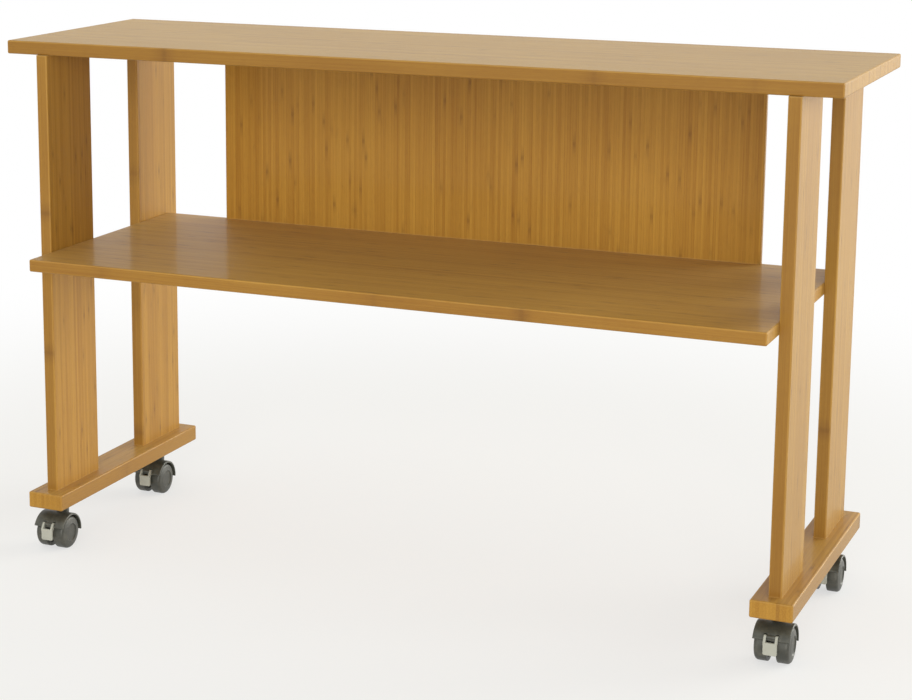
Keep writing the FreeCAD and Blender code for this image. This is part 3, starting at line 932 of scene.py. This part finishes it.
def rib_wheel(caster, wheel):
    """Set a ring of ribs in the hollow of one wheel."""
    node = caster + "_caster_" + wheel
    low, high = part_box(node)
    axle_low, axle_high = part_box(caster + "_caster_axle")
    axle = (axle_low + axle_high) / 2
    outward = 1 if wheel == "right_wheel" else -1
    mouth = (low.x if outward > 0 else high.x) - axle.x
    rib = wheel_rib(mouth + outward * RIB_RECESS, mouth + outward * (WELL_DEPTH + RIB_SINK))
    empty_mesh = bpy.data.meshes.new("no_places")
    values = {"Rib": rib, "Count": RIB_COUNT, "Finish": wheel_plastic}
    piece = grow(node + "_ribs", empty_mesh, ribbing, ribbing_ids, values)
    piece.data.transform(Matrix.Translation(axle))
    bpy.data.objects.remove(rib)
    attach(piece, caster + "_" + wheel)


for caster in CASTERS:
    for wheel in ("left_wheel", "right_wheel"):
        rib_wheel(caster, wheel)
print(2 * len(CASTERS), "wheels have", RIB_COUNT, "ribs each")

# %% [markdown]
# ## Studio
# The floor and the air around are plain white. The camera and anything glossy see that white
# as it is, but it lights the table less, so that the lamps still shape the boards. Near the
# table the floor glows less, so that the table's shadow shows. From below the floor is clear,
# so that the undersides can be looked at too. One wide lamp lights the right end and the top,
# the other the front. Both stand far off, so that near and far boards get the same light, and
# are a little yellow, as lamps in a room are.

# %% Light that is seen, and its warmth
WARM_WHITE = (1.0, 0.985, 0.90, 1)


def rays_that_see(tree):
    """Return 1 for the rays that show a backdrop, and 0 for those that light with it."""
    rays = tree.nodes.new("ShaderNodeLightPath").outputs
    seen = calc(tree, "MAXIMUM", rays["Is Camera Ray"], rays["Is Glossy Ray"])
    return calc(tree, "MAXIMUM", seen, rays["Is Transmission Ray"])


print("the light's tint is", WARM_WHITE[:3])

# %% Floor
FLOOR_REACH = 30.0
DIM_WITHIN, WHITE_BEYOND, DIM_WHITE = 1.0, 2.6, 0.62

floor_mesh = bpy.data.meshes.new("floor")
signs = ((-1, -1), (1, -1), (1, 1), (-1, 1))
corners = [(x * FLOOR_REACH, y * FLOOR_REACH, 0) for x, y in signs]
floor_mesh.from_pydata(corners, [], [(0, 1, 2, 3)])
floor = bpy.data.objects.new("floor", floor_mesh)
bpy.context.scene.collection.objects.link(floor)
floor_material, tree, shader, place = new_material("floor_paper")
shader.inputs["Base Color"].default_value = (0.86, 0.86, 0.86, 1)
shader.inputs["Roughness"].default_value = 0.9
shader.inputs["Specular IOR Level"].default_value = 0.0
glow = add(tree, "ShaderNodeEmission", {"Color": (1, 1, 1, 1), "Strength": 1.0})
seen = rays_that_see(tree)
distance = add(tree, "ShaderNodeVectorMath", {0: place}, operation="LENGTH").outputs["Value"]
fade = ramp(tree, distance, DIM_WITHIN, WHITE_BEYOND, DIM_WHITE, 1.0)
white = calc(tree, "MULTIPLY", seen, fade)
paper = add(tree, "ShaderNodeMixShader", {0: white, 1: shader.outputs[0], 2: glow.outputs[0]})
under = calc(tree, "MULTIPLY", seen, tree.nodes.new("ShaderNodeNewGeometry").outputs["Backfacing"])
gone = tree.nodes.new("ShaderNodeBsdfTransparent").outputs[0]
mixed = add(tree, "ShaderNodeMixShader", {0: under, 1: paper.outputs[0], 2: gone})
tree.links.new(mixed.outputs[0], tree.nodes["Material Output"].inputs["Surface"])
floor_mesh.materials.append(floor_material)
print("the floor is", 2 * FLOOR_REACH, "metres wide")

# %% Air
AIR_LIGHT = 0.66

world = bpy.data.worlds.new("studio")
bpy.context.scene.world = world
world.use_nodes = True
tree = world.node_tree
seen = rays_that_see(tree)
levels = {"Value": seen, "To Min": AIR_LIGHT, "To Max": 1.0}
level = add(tree, "ShaderNodeMapRange", levels).outputs[0]
tint = blend(tree, seen, WARM_WHITE, (1, 1, 1, 1))
background = tree.nodes["Background"]
tree.links.new(tint, background.inputs["Color"])
tree.links.new(level, background.inputs["Strength"])
print("the air lights the table at", AIR_LIGHT)

# %% Lamps
TABLE_MIDDLE = Vector((0, 0, 0.5))


def lamp(name, place, size, power):
    """Place a soft square lamp that faces the table."""
    data = bpy.data.lights.new(name, "AREA")
    data.size = size
    data.energy = power
    data.color = WARM_WHITE[:3]
    holder = bpy.data.objects.new(name, data)
    holder.location = place
    towards = TABLE_MIDDLE - Vector(place)
    holder.rotation_euler = towards.to_track_quat("-Z", "Y").to_euler()
    holder.visible_camera = False
    bpy.context.scene.collection.objects.link(holder)


lamp("end_lamp", place=(6.0, 6.4, 1.2), size=5.5, power=750)
lamp("front_lamp", place=(3.0, -11.0, 2.6), size=7.0, power=790)
print("two lamps are lit")
